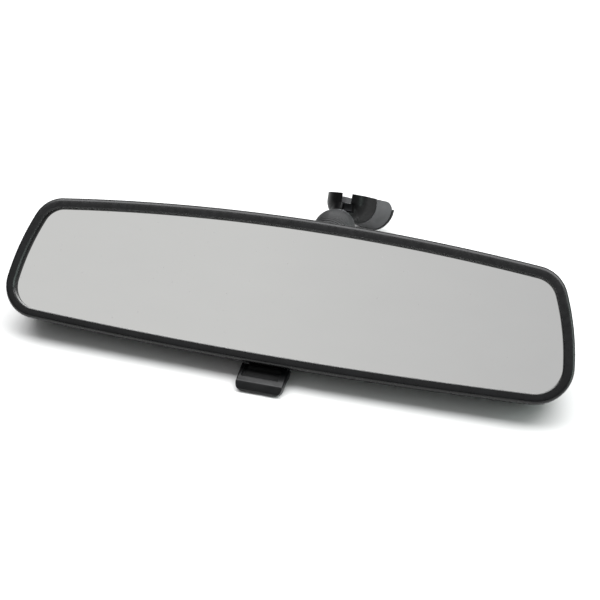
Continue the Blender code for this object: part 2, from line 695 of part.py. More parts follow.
def day_night_lever(material, parent):
    """A finger tab that leans towards the driver, its neck, its hub and the cam that tips the head."""
    front = [(3.8, -32.3), (-1.9, -40.1), (-2.3, -41.6), (-1.2, -43.1)]
    back = [(0.8, -43.2), (3.0, -40.2), (7.6, -35.2), (7.6, -32.3)]
    rings = []
    for sign in (-1, 1):
        rings.append([(TAB_CENTRE + sign * tab_half_width(b), a, b) for a, b in scaled(front + back)])
    tab = loft(rings)
    lever = add_object("day_night_lever", tab, material, parent, HEAD)
    bevel(lever, 0.5 * MM)
    neck_front = [(9.4, -23), (9.4, -28.3), (5.8, -32.0), (5.2, -34.4)]
    neck_back = [(7.0, -35.0), (10.2, -32.8), (12.8, -28.8), (14.6, -23)]
    neck = scaled(neck_front + neck_back)
    join(lever, add_cutter("lever_neck", prism(neck, -8.5 * MM, 8.5 * MM, "YZ"), HEAD))
    join(lever, add_cutter("lever_hub", cylinder(2.9 * MM, -9 * MM, 9 * MM, 16), LEVER_AXIS, X_AXIS))
    cam = scaled([(13.2, -24.2), (16.8, -24.2), (16.8, -15.6), (15.2, -15.6), (15.2, -20.6), (13.2, -20.6)])
    join(lever, add_cutter("lever_cam", prism(cam, -4 * MM, 4 * MM, "YZ"), HEAD))
    bore = cylinder(PIN_HOLE, -12 * MM, 12 * MM, SMALL_STEPS)
    cut(lever, add_cutter("hub_bore", bore, LEVER_AXIS, X_AXIS))
    down = Vector((0.0, -5.5, -7.5)).normalized()
    facing = X_AXIS.cross(down)
    recess = box((-9.0 * MM, 0.6 * MM, -0.8 * MM), (7.8 * MM, 6.1 * MM, 3 * MM))
    corner = HEAD + Vector((0.0, 3.8, -32.3)) * MM
    cut(lever, add_cutter("tab_recess", recess, corner, -facing, X_AXIS))


def build():
    clear_scene()
    dark_plastic = make_material("dark_plastic", (0.022, 0.023, 0.025), 0.42)
    black_plastic = make_material("black_plastic", (0.018, 0.018, 0.019), 0.5)
    grey_plastic = make_material("grey_plastic", (0.075, 0.078, 0.084), 0.5)
    cover_plastic = make_material("cover_plastic", (0.13, 0.135, 0.14), 0.5)
    cast_zinc = make_material("cast_zinc", (0.035, 0.036, 0.038), 0.45, 0.6)
    steel = make_material("steel", (0.55, 0.55, 0.56), 0.3, 1.0)
    liner_plastic = make_material("liner_plastic", (0.6, 0.6, 0.56), 0.4)
    mirror_coat = make_material("mirror_coat", (0.83, 0.85, 0.84), 0.02, 1.0)
    foam = make_material("foam", (0.05, 0.05, 0.05), 0.9)
    rubber = make_material("rubber", (0.03, 0.03, 0.03), 0.8)

    root = add_empty("foot_frame", Vector())
    upper = add_empty("upper_joint", UPPER_BALL, root)
    upper.rotation_euler.x = HEAD_NOD
    lower = add_empty("lower_joint", LOWER_BALL, upper)
    flip = add_empty("flip_joint", FLIP_AXIS, lower)
    pull = add_empty("lever_joint", LEVER_AXIS, flip)

    mount_cup(cast_zinc, root)
    upper_ball_stud(steel, root)
    spring_clip(steel, root)
    clip_rivet(steel, root)
    mount_cover(cover_plastic, root)
    mount_end_cap(black_plastic, root)
    end_cap_screw(steel, root)

    upper_ball_liner(liner_plastic, upper)
    arm_bell(grey_plastic, upper)
    bell_ring(steel, upper)
    arm_tube(cast_zinc, upper)
    spring_cap(liner_plastic, upper)
    coil("arm_spring", steel, upper, UPPER_BALL, ARM_AXIS, 3.3 * MM, 0.9 * MM, -25.2 * MM, -12.2 * MM, 4)
    lower_ball_stud(steel, upper)

    lower_liners(liner_plastic, lower, lower)
    socket_body(black_plastic, lower)
    carrier_plate(steel, lower)
    socket_screws(steel, lower)

    front_bezel(dark_plastic, flip)
    mirror_glass(mirror_coat, flip)
    glass_pad(foam, flip)
    back_plate(black_plastic, flip)
    rear_housing(dark_plastic, flip)
    pins_and_stops(steel, rubber, flip)

    day_night_lever(black_plastic, pull)
    coil("lever_spring", steel, pull, LEVER_AXIS, X_AXIS, 2.1 * MM, 0.7 * MM, 9.8 * MM, 12.2 * MM, 3)


build()
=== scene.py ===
import json
import math

import bmesh
import bpy
from mathutils import Matrix, Vector


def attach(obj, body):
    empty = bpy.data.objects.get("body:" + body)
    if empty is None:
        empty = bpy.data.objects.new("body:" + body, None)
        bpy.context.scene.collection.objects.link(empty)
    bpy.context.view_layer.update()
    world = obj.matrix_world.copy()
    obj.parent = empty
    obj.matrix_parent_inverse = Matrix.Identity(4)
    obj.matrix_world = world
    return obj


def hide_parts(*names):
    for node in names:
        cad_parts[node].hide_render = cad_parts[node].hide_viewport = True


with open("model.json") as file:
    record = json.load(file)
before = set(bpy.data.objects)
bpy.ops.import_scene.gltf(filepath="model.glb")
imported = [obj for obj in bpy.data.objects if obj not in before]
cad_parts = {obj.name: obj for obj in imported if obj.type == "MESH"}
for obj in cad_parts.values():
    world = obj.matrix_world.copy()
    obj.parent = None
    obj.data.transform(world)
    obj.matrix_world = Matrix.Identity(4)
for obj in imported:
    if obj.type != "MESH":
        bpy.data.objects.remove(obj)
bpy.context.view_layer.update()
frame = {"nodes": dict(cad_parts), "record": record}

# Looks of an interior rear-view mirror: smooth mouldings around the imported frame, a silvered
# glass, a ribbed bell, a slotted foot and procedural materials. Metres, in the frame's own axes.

MM = 0.001
JOINTS = {joint["name"]: joint for joint in frame["record"]["behaviour"]["joints"]}

# The arm and head are laid out upright around the upper ball, then nodded there by HEAD_NOD.
HEAD_NOD = math.radians(-9.0)
UPPER_BALL = Vector(JOINTS["arm_swing"]["pos_m"])
TO_UPPER_BALL = Matrix.Translation(UPPER_BALL)
NOD = TO_UPPER_BALL @ Matrix.Rotation(HEAD_NOD, 4, "X") @ Matrix.Translation(-UPPER_BALL)
HEAD = UPPER_BALL - Vector((6.7, 62.0, 43.4)) * MM      # centre of the glass's front face
LOWER_BALL = HEAD + Vector((0.0, 27.0, 6.0)) * MM
LEVER_AXIS = HEAD + Vector((0.0, 12.2, -22.6)) * MM
BOWL_CENTRE = Vector((0.0, 0.0, -3.8)) * MM             # centre of the cup's round bowl
ARM_AXIS = (UPPER_BALL - LOWER_BALL).normalized()
ARM_LENGTH = (UPPER_BALL - LOWER_BALL).length
STEM_AXIS = (BOWL_CENTRE - UPPER_BALL).normalized()
X_AXIS = Vector((1.0, 0.0, 0.0))
Y_AXIS = Vector((0.0, 1.0, 0.0))
Z_AXIS = Vector((0.0, 0.0, 1.0))
SMOOTH_ANGLE = math.radians(38.0)    # edges that turn more than this stay sharp
MERGE_DISTANCE = 0.001 * MM

# Opening in the front frame: a rounded trapezoid of four bowed edges
OPENING_HALF_TOP = 112.5 * MM
OPENING_HALF_BOTTOM = 122.4 * MM
OPENING_HEIGHT = 45.9 * MM
# Bow of the top, right, bottom and left edge, and radius of the corners from the top left on
BOWS = (6.6 * MM, 2.7 * MM, 3.2 * MM, 2.7 * MM)
CORNERS = (9.8 * MM, 9.8 * MM, 11.1 * MM, 11.1 * MM)
EDGE_STEPS = (56, 18, 56, 18)
CORNER_STEPS = 14
FRAME_WIDTH = 4.8 * MM
FRAME_RISE = 0.3 * MM
GLASS_FACE = 0.05 * MM
GLASS_OVERLAP = 1.8 * MM             # of the glass behind the frame's lip
GLASS_BEVEL = 0.3 * MM
GLASS_THIN = 2.4 * MM                # the wedge's thickness at its lower and upper edge
GLASS_THICK = 5.8 * MM
HOUSING_WIDTH = 4.4 * MM
HOUSING_FRONT = 11.3 * MM
HOUSING_DEPTH = 17.4 * MM
HOUSING_WALL = 2.4 * MM
HOUSING_POWER = 2.2                  # roundness of the dome: 2 is an ellipse
HOUSING_FLAT = 0.965                 # share of its depth at which it ends in a flat
HOUSING_LEVELS = 22
HOUSING_HOLE = 15.0 * MM
HOLE_CENTRE = Vector((HEAD.x, HEAD.y, LOWER_BALL.z))
COLLAR_FRONT = 19.0 * MM             # the collar's inner wall, roll and outer wall, behind the glass
COLLAR_BACK = 27.4 * MM
COLLAR_FOOT = 21.0 * MM
LEVER_GAP_HALF = 13.2 * MM           # half the notch for the lever

# Foot
CUP_RADIUS = 11.5 * MM
CUP_DROP = 10.0 * MM
CUP_INSIDE = 9.1 * MM
CUP_DEPTH = 5.2 * MM
SLOT_WIDTH = 4.8 * MM
SLOT_DEPTH = 5.0 * MM
SLOT_OFFSET = 1.65 * MM              # of the slot's middle, left of the cup's centre
SLOT_HEADING = math.radians(10.8)    # both headings are turned left from +Y
COVER_HEADING = math.radians(-27.0)
COVER_START = 8.0 * MM
COVER_END = 19.4 * MM
COVER_WALL = 1.6 * MM
COVER_LIP = 0.45 * MM                # the wall thins to this where the cover meets the cup
COVER_GAP = 0.9 * MM                 # open joint between the cup and the cover
# The cover flares towards the end cap: (distance along, radius, drop, top) of its sections
COVER_SECTIONS = (
    (8.0, 11.5, 10.0, -0.1),
    (9.5, 11.65, 10.2, -0.1),
    (12.5, 12.0, 10.5, -0.1),
    (15.0, 12.4, 10.9, -0.1),
    (16.4, 12.65, 11.15, -0.3),
    (17.6, 12.85, 11.35, -0.9),
    (18.6, 13.05, 11.55, -1.9),
    (19.4, 13.2, 11.7, -3.0),
)
CAP_RADIUS = 13.3 * MM
CAP_DROP = 11.8 * MM
CAP_TOP = -3.6 * MM
CAP_THICK = 1.7 * MM
SCREW_PLACE = Z_AXIS * -7.2 * MM
SCREW_HOLE = 1.9 * MM
SPIGOT_STEP = 0.3 * MM               # the spigot is this much lower than the cup's outside
SPIGOT_CLEARANCE = 0.2 * MM
RIVET_PLACE = Vector((2.6, 2.4, 0.0)) * MM


# ---------------------------------------------------------------- mesh helpers

def add_piece(name, bm, material, body, replaced, place=Vector(), axis=None, x_axis=None):
    """Makes an object from a bmesh with its Z along axis, parents it to its body and hides the imported
    nodes it replaces.
    """
    bmesh.ops.recalc_face_normals(bm, faces=bm.faces)
    mesh = bpy.data.meshes.new(name)
    bm.to_mesh(mesh)
    bm.free()
    mesh.shade_smooth()
    mesh.set_sharp_from_angle(angle=SMOOTH_ANGLE)
    piece = bpy.data.objects.new(name, mesh)
    bpy.context.collection.objects.link(piece)
    piece["nodded"] = body != "windshield_foot"
    put(piece, place, axis, x_axis, piece["nodded"])
    mesh.materials.append(material)
    if body:
        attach(piece, body)
        if replaced:
            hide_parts(*replaced)
    return piece


def put(obj, place, axis, x_axis, nodded):
    """Places an object in the upright layout, then nods it with the head if it belongs there."""
    if x_axis:
        turn = Matrix((x_axis, axis.cross(x_axis), axis)).transposed()
    elif axis:
        turn = axis.to_track_quat("Z", "Y").to_matrix()
    else:
        turn = Matrix.Identity(3)
    matrix = Matrix.Translation(place) @ turn.to_4x4()
    obj.matrix_world = NOD @ matrix if nodded else matrix


def bake_boolean(piece, bm, operation, place=Vector(), axis=None, x_axis=None):
    """Joins or cuts a shape and applies the result, so that no cutter is left in the scene."""
    mesh = bpy.data.meshes.new("tool")
    bmesh.ops.recalc_face_normals(bm, faces=bm.faces)
    bm.to_mesh(mesh)
    bm.free()
    tool = bpy.data.objects.new("tool", mesh)
    bpy.context.collection.objects.link(tool)
    put(tool, place, axis, x_axis, piece["nodded"])
    modifier = piece.modifiers.new("Boolean", "BOOLEAN")
    modifier.operation = operation
    modifier.solver = "EXACT"
    modifier.object = tool
    apply_modifiers(piece)
    bpy.data.objects.remove(tool, do_unlink=True)


def apply_modifiers(piece):
    """Turns a piece's modifiers into its mesh."""
    depsgraph = bpy.context.evaluated_depsgraph_get()
    depsgraph.update()
    mesh = bpy.data.meshes.new_from_object(piece.evaluated_get(depsgraph))
    mesh.shade_smooth()
    mesh.set_sharp_from_angle(angle=SMOOTH_ANGLE)
    piece.modifiers.clear()
    piece.data = mesh


def soften(piece, width, segments=3):
    """Rounds the sharp edges of a finished piece."""
    modifier = piece.modifiers.new("Bevel", "BEVEL")
    modifier.width = width
    modifier.segments = segments
    modifier.limit_method = "ANGLE"
    modifier.angle_limit = SMOOTH_ANGLE
    modifier.harden_normals = False
    modifier.use_clamp_overlap = True


def loft(rings, closed=False):
    """Joins rings of equally many points, and caps the two ends unless the last meets the first."""
    bm = bmesh.new()
    rows = [[bm.verts.new(point) for point in ring] for ring in rings]
    count = len(rows[0])
    pairs = list(zip(rows, rows[1:]))
    if closed:
        pairs.append((rows[-1], rows[0]))
    for low, high in pairs:
        for i in range(count):
            j = (i + 1) % count
            bm.faces.new((low[i], low[j], high[j], high[i]))
    if not closed:
        bm.faces.new(rows[0])
        bm.faces.new(rows[-1])
    return bm


def turned(profile, steps=72):
    """Turns a closed profile of (radius, height) points around Z."""
    bm = bmesh.new()
    points = [bm.verts.new((radius, 0.0, height)) for radius, height in profile]
    edges = []
    for i, point in enumerate(points):
        following = points[(i + 1) % len(points)]
        if point.co.x > 1e-9 or following.co.x > 1e-9:
            edges.append(bm.edges.new((point, following)))
    geometry = points + edges
    bmesh.ops.spin(bm, geom=geometry, cent=(0, 0, 0), axis=(0, 0, 1), angle=math.tau, steps=steps)
    bmesh.ops.remove_doubles(bm, verts=bm.verts, dist=MERGE_DISTANCE)
    return bm


def sphere_arc(radius, start, end, steps=24):
    """An arc as (radius, height) points, from one angle off the pole to another, in degrees."""
    points = []
    for i in range(steps + 1):
        angle = math.radians(start + (end - start) * i / steps)
        points.append((radius * math.sin(angle), radius * math.cos(angle)))
    return points


def cylinder(radius, low, high):
    """The profile of a plain cylinder, to be turned."""
    return [(0.0, low), (radius, low), (radius, high), (0.0, high)]


def rounded_profile(points, radius, steps=4):
    """Rounds the inner corners of an open profile."""
    result = [points[0]]
    for before, corner, after in zip(points, points[1:], points[2:]):
        corner, before, after = Vector(corner), Vector(before), Vector(after)
        reach = min(radius, (before - corner).length * 0.45, (after - corner).length * 0.45)
        start = corner + (before - corner).normalized() * reach
        end = corner + (after - corner).normalized() * reach
        for i in range(steps + 1):
            t = i / steps
            point = start * (1 - t) ** 2 + corner * 2 * t * (1 - t) + end * t * t
            result.append(tuple(point))
    result.append(points[-1])
    return result


def prism(points, low, high, plane):
    """A solid of one flat outline in the named plane, from low to high across it."""
    place = {
        "XZ": lambda a, b, depth: (a, depth, b),
        "YZ": lambda a, b, depth: (depth, a, b),
        "XY": lambda a, b, depth: (a, b, depth),
    }[plane]
    return loft([[place(a, b, depth) for a, b in points] for depth in (low, high)])


def box(low, high):
    bm = bmesh.new()
    bmesh.ops.create_cube(bm, size=1.0)
    size = Vector(high) - Vector(low)
    bmesh.ops.scale(bm, vec=size, verts=bm.verts)
    bmesh.ops.translate(bm, vec=Vector(low) + size / 2, verts=bm.verts)
    return bm


def scaled(points):
    return [tuple(value * MM for value in point) for point in points]


def heading(angle):
    """The level direction at an angle from +Y."""
    return Vector((-math.sin(angle), math.cos(angle), 0.0))


def left_of(direction):
    return Z_AXIS.cross(direction)


# ---------------------------------------------------------------- outline of the mirror

def bowed_edge(start, end, bow):
    chord = end - start
    half = chord.length / 2
    radius = (half * half + bow * bow) / (2 * bow)
    left = Vector((-chord.y, chord.x)).normalized()
    return (start + end) / 2 + left * (bow - radius), radius


def corner_centre(first, second, corner, radius):
    (centre_a, radius_a), (centre_b, radius_b) = first, second
    reach_a = radius_a - radius
    reach_b = radius_b - radius
    between = centre_b - centre_a
    distance = between.length
    along = (distance * distance + reach_a * reach_a - reach_b * reach_b) / (2 * distance)
    across = math.sqrt(reach_a * reach_a - along * along)
    unit = between / distance
    side = Vector((-unit.y, unit.x))
    options = [centre_a + unit * along + side * across * sign for sign in (-1, 1)]
    return min(options, key=lambda point: (point - corner).length)


def arc_points(centre, radius, start, end, steps):
    first = math.atan2(start.y, start.x)
    sweep = (first - math.atan2(end.y, end.x)) % math.tau
    angles = [first - sweep * i / steps for i in range(steps)]
    return [(centre.x + radius * math.cos(a), centre.y + radius * math.sin(a)) for a in angles]


def outline(offset):
    """The opening's outline grown outward by offset, clockwise from the top left corner."""
    half = OPENING_HEIGHT / 2
    corners = [
        Vector((-OPENING_HALF_TOP, half)),
        Vector((OPENING_HALF_TOP, half)),
        Vector((OPENING_HALF_BOTTOM, -half)),
        Vector((-OPENING_HALF_BOTTOM, -half)),
    ]
    edges = [bowed_edge(corners[i], corners[(i + 1) % 4], BOWS[i]) for i in range(4)]
    fillets = [corner_centre(edges[i - 1], edges[i], corners[i], CORNERS[i]) for i in range(4)]
    points = []
    for i in range(4):
        before, after = edges[i - 1][0], edges[i][0]
        fillet, following = fillets[i], fillets[(i + 1) % 4]
        corner = CORNERS[i] + offset
        edge = edges[i][1] + offset
        points += arc_points(fillet, corner, fillet - before, fillet - after, CORNER_STEPS)
        points += arc_points(after, edge, fillet - after, following - after, EDGE_STEPS[i])
    return points


def ring_at(offset, depth, rise=0.0):
    return [(a, depth, b + rise) for a, b in outline(offset)]


# ---------------------------------------------------------------- materials

def new_material(name):
    material = bpy.data.materials.new(name)
    material.use_nodes = True
    return material, material.node_tree, material.node_tree.nodes["Principled BSDF"]


def noise(tree, scale, detail=3.0, stretch=(1.0, 1.0, 1.0)):
    """Noise over the object's own coordinates: one wave is about 1/scale metres long."""
    coordinates = tree.nodes.new("ShaderNodeTexCoord")
    mapping = tree.nodes.new("ShaderNodeMapping")
    mapping.inputs["Scale"].default_value = stretch
    texture = tree.nodes.new("ShaderNodeTexNoise")
    texture.inputs["Scale"].default_value = scale
    texture.inputs["Detail"].default_value = detail
    tree.links.new(coordinates.outputs["Object"], mapping.inputs["Vector"])
    tree.links.new(mapping.outputs["Vector"], texture.inputs["Vector"])
    return texture.outputs["Fac"]


def remap(tree, value, low, high, to_low, to_high):
    node = tree.nodes.new("ShaderNodeMapRange")
    node.inputs["From Min"].default_value = low
    node.inputs["From Max"].default_value = high
    node.inputs["To Min"].default_value = to_low
    node.inputs["To Max"].default_value = to_high
    tree.links.new(value, node.inputs["Value"])
    return node.outputs["Result"]


def mix_colour(tree, factor, first, second):
    node = tree.nodes.new("ShaderNodeMix")
    node.data_type = "RGBA"
    tree.links.new(factor, node.inputs["Factor"])
    for socket, value in ((node.inputs[6], first), (node.inputs[7], second)):
        if isinstance(value, tuple):
            socket.default_value = (*value, 1.0)
        else:
            tree.links.new(value, socket)
    return node.outputs[2]


def add_bump(tree, shader, height, strength, distance, normal=None):
    bump = tree.nodes.new("ShaderNodeBump")
    bump.inputs["Strength"].default_value = strength
    bump.inputs["Distance"].default_value = distance
    tree.links.new(height, bump.inputs["Height"])
    if normal:
        tree.links.new(normal, bump.inputs["Normal"])
    tree.links.new(bump.outputs["Normal"], shader.inputs["Normal"])
    return bump.outputs["Normal"]


def edge_wear(tree, reach, least, most):
    """Rises from 0 to 1 where the surface turns sharply within a short reach."""
    geometry = tree.nodes.new("ShaderNodeNewGeometry")
    rounded = tree.nodes.new("ShaderNodeBevel")
    rounded.samples = 4
    rounded.inputs["Radius"].default_value = reach
    product = tree.nodes.new("ShaderNodeVectorMath")
    product.operation = "DOT_PRODUCT"
    tree.links.new(rounded.outputs["Normal"], product.inputs[0])
    tree.links.new(geometry.outputs["Normal"], product.inputs[1])
    return remap(tree, product.outputs["Value"], least, most, 0.0, 1.0)


def moulded(name, colour, worn, roughness, grain=2600.0, bump=0.12, spread=0.35, specular=0.5):
    """Moulded plastic: fine spark grain, slow cloudy variation, and polished lighter edges."""
    material, tree, shader = new_material(name)
    dark = tuple(value * (1 - spread) for value in colour)
    light = tuple(value * (1 + spread) for value in colour)
    cloudy = remap(tree, noise(tree, 90.0, 4.0), 0.35, 0.65, 0.0, 1.0)
    fine = noise(tree, grain, 2.0)
    base = mix_colour(tree, cloudy, dark, light)
    speckled = mix_colour(tree, remap(tree, fine, 0.62, 0.78, 0.0, 0.5), base, worn)
    edges = edge_wear(tree, 0.25 * MM, 0.96, 0.84)
    tree.links.new(mix_colour(tree, edges, speckled, worn), shader.inputs["Base Color"])
    patches = noise(tree, 420.0, 3.0)
    rough = remap(tree, patches, 0.3, 0.7, roughness - 0.06, roughness + 0.06)
    tree.links.new(rough, shader.inputs["Roughness"])
    shader.inputs["Specular IOR Level"].default_value = specular
    first = add_bump(tree, shader, fine, bump, 0.00012)
    add_bump(tree, shader, noise(tree, 260.0, 2.0), bump * 0.5, 0.0003, first)
    return material


def coated_metal(name, colour, worn, roughness, specular=0.5):
    """Black coated casting: orange-peel surface with bare metal showing through at the edges."""
    material, tree, shader = new_material(name)
    edges = edge_wear(tree, 0.3 * MM, 0.93, 0.8)
    broken = tree.nodes.new("ShaderNodeMath")
    broken.operation = "MULTIPLY"
    tree.links.new(edges, broken.inputs[0])
    tree.links.new(remap(tree, noise(tree, 1400.0, 4.0), 0.45, 0.6, 0.0, 1.0), broken.inputs[1])
    cloudy = remap(tree, noise(tree, 220.0, 4.0), 0.3, 0.7, 0.0, 1.0)
    base = mix_colour(tree, cloudy, tuple(v * 0.75 for v in colour), tuple(v * 1.3 for v in colour))
    tree.links.new(mix_colour(tree, broken.outputs[0], base, worn), shader.inputs["Base Color"])
    tree.links.new(remap(tree, broken.outputs[0], 0.0, 1.0, 0.0, 0.8), shader.inputs["Metallic"])
    shader.inputs["Specular IOR Level"].default_value = specular
    rough = remap(tree, noise(tree, 700.0, 3.0), 0.3, 0.7, roughness - 0.07, roughness + 0.07)
    tree.links.new(rough, shader.inputs["Roughness"])
    add_bump(tree, shader, noise(tree, 1100.0, 3.0), 0.08, 0.0002)
    return material


def bare_steel(name, colour, roughness, stretch=(1.0, 1.0, 14.0)):
    """Drawn or turned steel with fine lines across its length."""
    material, tree, shader = new_material(name)
    shader.inputs["Metallic"].default_value = 1.0
    lines = noise(tree, 500.0, 4.0, stretch)
    stain = remap(tree, noise(tree, 160.0, 5.0), 0.35, 0.7, 0.0, 1.0)
    base = mix_colour(tree, stain, colour, tuple(v * 0.72 for v in colour))
    tree.links.new(base, shader.inputs["Base Color"])
    rough = remap(tree, lines, 0.3, 0.7, roughness - 0.08, roughness + 0.12)
    tree.links.new(rough, shader.inputs["Roughness"])
    add_bump(tree, shader, lines, 0.1, 0.0001)
    return material


def silvered_glass():
    """The mirror face: silver behind clear glass, with dust specks and a faint wiped film."""
    material, tree, shader = new_material("silvered_glass")
    shader.inputs["Metallic"].default_value = 1.0
    film = remap(tree, noise(tree, 38.0, 5.0, (1.0, 1.0, 2.4)), 0.35, 0.75, 0.0, 1.0)
    dust = remap(tree, noise(tree, 900.0, 1.0), 0.74, 0.78, 0.0, 1.0)
    base = mix_colour(tree, film, (0.884, 0.886, 0.87), (0.872, 0.874, 0.859))
    tree.links.new(mix_colour(tree, dust, base, (0.66, 0.66, 0.65)), shader.inputs["Base Color"])
    rough = tree.nodes.new("ShaderNodeMath")
    rough.operation = "MAXIMUM"
    tree.links.new(remap(tree, film, 0.0, 1.0, 0.012, 0.03), rough.inputs[0])
    tree.links.new(remap(tree, dust, 0.0, 1.0, 0.0, 0.3), rough.inputs[1])
    tree.links.new(rough.outputs[0], shader.inputs["Roughness"])
    return material


def soft_black(name, colour, grain, bump):
    """Foam or rubber: an open matte surface."""
    material, tree, shader = new_material(name)
    cells = noise(tree, grain, 5.0)
    shade = remap(tree, cells, 0.3, 0.7, 0.0, 1.0)
    base = mix_colour(tree, shade, tuple(v * 0.6 for v in colour), colour)
    tree.links.new(base, shader.inputs["Base Color"])
    tree.links.new(remap(tree, cells, 0.3, 0.7, 0.78, 0.95), shader.inputs["Roughness"])
    add_bump(tree, shader, cells, bump, 0.0003)
    return material


def make_materials():
    """One material for each slot of the record, by the slot's name."""
    grey_worn = (0.012, 0.0124, 0.013)
    plastics = {
        "bezel_plastic": moulded(
            "bezel_plastic", (0.0022, 0.0023, 0.0026), grey_worn, 0.3, bump=0.06, specular=0.34),
        "housing_plastic": moulded(
            "housing_plastic", (0.008, 0.0082, 0.009), grey_worn, 0.5, grain=1500.0, bump=0.3),
        "inner_plastic": moulded("inner_plastic", (0.015, 0.015, 0.016), grey_worn, 0.45),
        "lever_plastic": moulded(
            "lever_plastic", (0.0028, 0.0029, 0.0033), grey_worn, 0.34, bump=0.1, specular=0.26),
        "bell_plastic": moulded(
            "bell_plastic", (0.016, 0.0164, 0.017), (0.05, 0.05, 0.051), 0.5, specular=0.35),
        "cover_plastic": moulded(
            "cover_plastic", (0.067, 0.066, 0.069), (0.14, 0.14, 0.145), 0.55,
            spread=0.12, specular=0.25),
        "cap_plastic": moulded(
            "cap_plastic", (0.003, 0.003, 0.0033), grey_worn, 0.42, specular=0.25),
        "liner_plastic": moulded(
            "liner_plastic", (0.5, 0.485, 0.44), (0.6, 0.58, 0.53), 0.36, spread=0.06),
    }
    metals = {
        "cast_metal": coated_metal(
            "cast_metal", (0.003, 0.0029, 0.0031), (0.024, 0.024, 0.026), 0.34, specular=0.11),
        "arm_metal": coated_metal("arm_metal", (0.009, 0.0092, 0.0105), (0.25, 0.25, 0.26), 0.42),
        "steel": bare_steel("steel", (0.3, 0.3, 0.31), 0.34),
        "spring_steel": bare_steel("spring_steel", (0.03, 0.0305, 0.032), 0.42, (14.0, 1.0, 1.0)),
        "ring_metal": bare_steel("ring_metal", (0.13, 0.133, 0.137), 0.4),
        "mirror_coat": silvered_glass(),
    }
    soft = {
        "foam": soft_black("foam", (0.05, 0.05, 0.05), 1800.0, 0.6),
        "stop_rubber": soft_black("stop_rubber", (0.035, 0.035, 0.035), 900.0, 0.25),
    }
    return {**plastics, **metals, **soft}


# ---------------------------------------------------------------- head

def frame_profile():
    """Section of the front frame as (offset outward, depth): lip, crown, drafted wall, inside."""
    lip = rounded_profile(scaled([(0.0, 0.0), (0.1, -1.6), (0.65, -2.25)]), 0.45 * MM, 4)
    crown = rounded_profile(scaled([(2.2, -2.3), (3.6, -2.2), (4.6, -1.5), (4.8, 0.2)]), 0.75 * MM, 5)
    wall = scaled([(4.8, 2.0), (4.55, 10.3), (4.35, 10.6), (4.3, 11.0)])
    inside = scaled([(2.2, 11.0), (2.2, 0.0)])
    return lip + crown + wall + inside


def front_frame(material):
    """The black frame around the glass, notched at the back for the lever."""
    rings = []
    for offset, depth in frame_profile():
        share = min(1.0, offset / FRAME_WIDTH)
        rings.append(ring_at(offset, depth, FRAME_RISE * share))
    piece = add_piece("frame_moulding", loft(rings, closed=True), material, "head",
                      ["front_bezel"], HEAD)
    gap = box((-LEVER_GAP_HALF, 4.6 * MM, -34 * MM), (LEVER_GAP_HALF, 13 * MM, -26 * MM))
    bake_boolean(piece, gap, "DIFFERENCE", HEAD)


def glass_back(height):
    """How far back the wedge's rear face lies at a height on the glass."""
    low = -OPENING_HEIGHT / 2 - BOWS[2]
    high = OPENING_HEIGHT / 2 + BOWS[0]
    share = (height - low) / (high - low)
    return GLASS_THIN + (GLASS_THICK - GLASS_THIN) * share


def mirror_face(material):
    """The wedge of glass with a small ground bevel around its front edge."""
    rings = [
        ring_at(GLASS_OVERLAP - GLASS_BEVEL, GLASS_FACE),
        ring_at(GLASS_OVERLAP, GLASS_FACE + GLASS_BEVEL),
        [(a, glass_back(b), b) for a, b in outline(GLASS_OVERLAP)],
    ]
    add_piece("mirror_face", loft(rings), material, "head", ["mirror_glass"], HEAD)


def housing_ring(offset, share, depth):
    """One ring of the domed shell, at a share of its depth."""
    size = (1 - share ** HOUSING_POWER) ** (1 / HOUSING_POWER)
    rise = FRAME_RISE * (1 - share)
    return [(a * size, HOUSING_FRONT + depth * share, b * size + rise) for a, b in outline(offset)]


def rear_shell(material):
    """The rounded rear shell with a stepped joint line, a hole for the ball and the lever gap."""
    turns = [math.pi / 2 * i / HOUSING_LEVELS for i in range(HOUSING_LEVELS + 1)]
    shares = [HOUSING_FLAT * math.sin(turn) for turn in turns]
    lip = [
        ring_at(HOUSING_WIDTH - 0.45 * MM, HOUSING_FRONT, FRAME_RISE),
        ring_at(HOUSING_WIDTH, HOUSING_FRONT + 0.4 * MM, FRAME_RISE),
    ]
    outside = [housing_ring(HOUSING_WIDTH, share, HOUSING_DEPTH) for share in shares[1:]]
    width = HOUSING_WIDTH - HOUSING_WALL
    depth = HOUSING_DEPTH - HOUSING_WALL
    inside = [housing_ring(width, share, depth) for share in shares[::3]]
    bm = loft(outside[::-1] + lip[::-1] + inside)
    piece = add_piece("rear_shell", bm, material, "head", ["rear_housing"], HEAD)
    hole = turned(cylinder(HOUSING_HOLE, 0.0, 60 * MM), 96)
    bake_boolean(piece, hole, "DIFFERENCE", HOLE_CENTRE, Y_AXIS)
    gap = box((-LEVER_GAP_HALF, 9 * MM, -36 * MM), (LEVER_GAP_HALF, 17.6 * MM, -24 * MM))
    bake_boolean(piece, gap, "DIFFERENCE", HEAD)


def hole_collar(material):
    """A rolled collar around the hole that the ball socket sits in."""
    inner = HOUSING_HOLE - 0.2 * MM
    outer = HOUSING_HOLE + 2.0 * MM
    middle = (inner + outer) / 2
    roll = sphere_arc((outer - inner) / 2, -90, 90, 8)
    profile = [(inner, COLLAR_FRONT)]
    profile += [(middle + across, COLLAR_BACK + back) for across, back in roll]
    profile += [(outer, COLLAR_FOOT)]
    add_piece("hole_collar", turned(profile, 96), material, "head", None,
              HOLE_CENTRE, Y_AXIS)


# ---------------------------------------------------------------- lever

